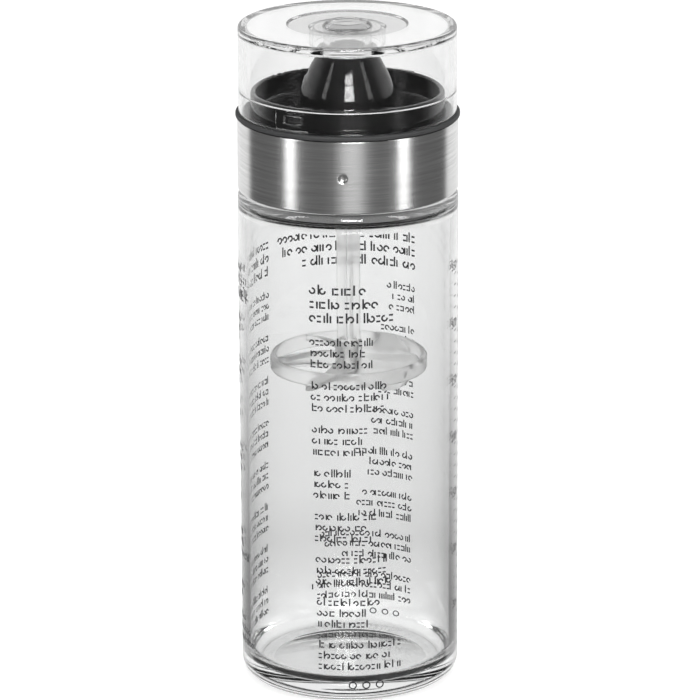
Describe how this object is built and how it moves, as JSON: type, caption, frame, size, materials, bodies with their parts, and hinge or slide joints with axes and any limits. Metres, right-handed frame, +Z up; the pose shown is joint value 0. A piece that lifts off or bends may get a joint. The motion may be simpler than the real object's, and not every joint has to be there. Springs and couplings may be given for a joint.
{
  "type": "salad dressing shaker",
  "caption": "Round glass dressing shaker with a brushed steel screw lid, a black pour spout in a drip dish, a clear cap and a mixing disc on a stem.",
  "frame": {"origin": "centre of the bottle's base, on the surface that it stands on", "axes": "+Z up along the bottle's axis, -Y towards the front where the print column is"},
  "size_m": [0.0658, 0.0658, 0.2004],
  "materials": {
    "bottle_glass": "clear, polished",
    "pale_silicone": "matte",
    "brushed_steel": "finely brushed around the collar",
    "black_plastic": "polished",
    "dark_rubber": "matte",
    "clear_plastic": "clear, polished moulded plastic",
    "milky_plastic": "natural translucent plastic, satin"
  },
  "bodies": {
    "bottle": {"glass_bottle": "bottle_glass"},
    "seal": {"lid_seal": "pale_silicone"},
    "lid": {"steel_collar": "brushed_steel", "pour_spout": "black_plastic", "rim_ring": "dark_rubber", "mixer_stem": "milky_plastic", "mixing_disc": "milky_plastic"},
    "cap": {"clear_cap": "clear_plastic"}
  },
  "joints": [
    {"name": "lid_rise", "type": "slide", "parent": "bottle", "child": "seal", "axis": [0, 0, 1], "range_m": [0, 0.0051]},
    {"name": "lid_turn", "type": "hinge", "parent": "seal", "child": "lid", "pos_m": [0, 0, 0.16], "axis": [0, 0, 1], "range_deg": [0, 450]},
    {"name": "cap_lift", "type": "slide", "parent": "lid", "child": "cap", "axis": [0, 0, 1], "range_m": [0, 0.03]}
  ],
  "couplings": [
    {"joint": "lid_rise", "follows": "lid_turn", "m_per_rad": 0.00063662}
  ]
}
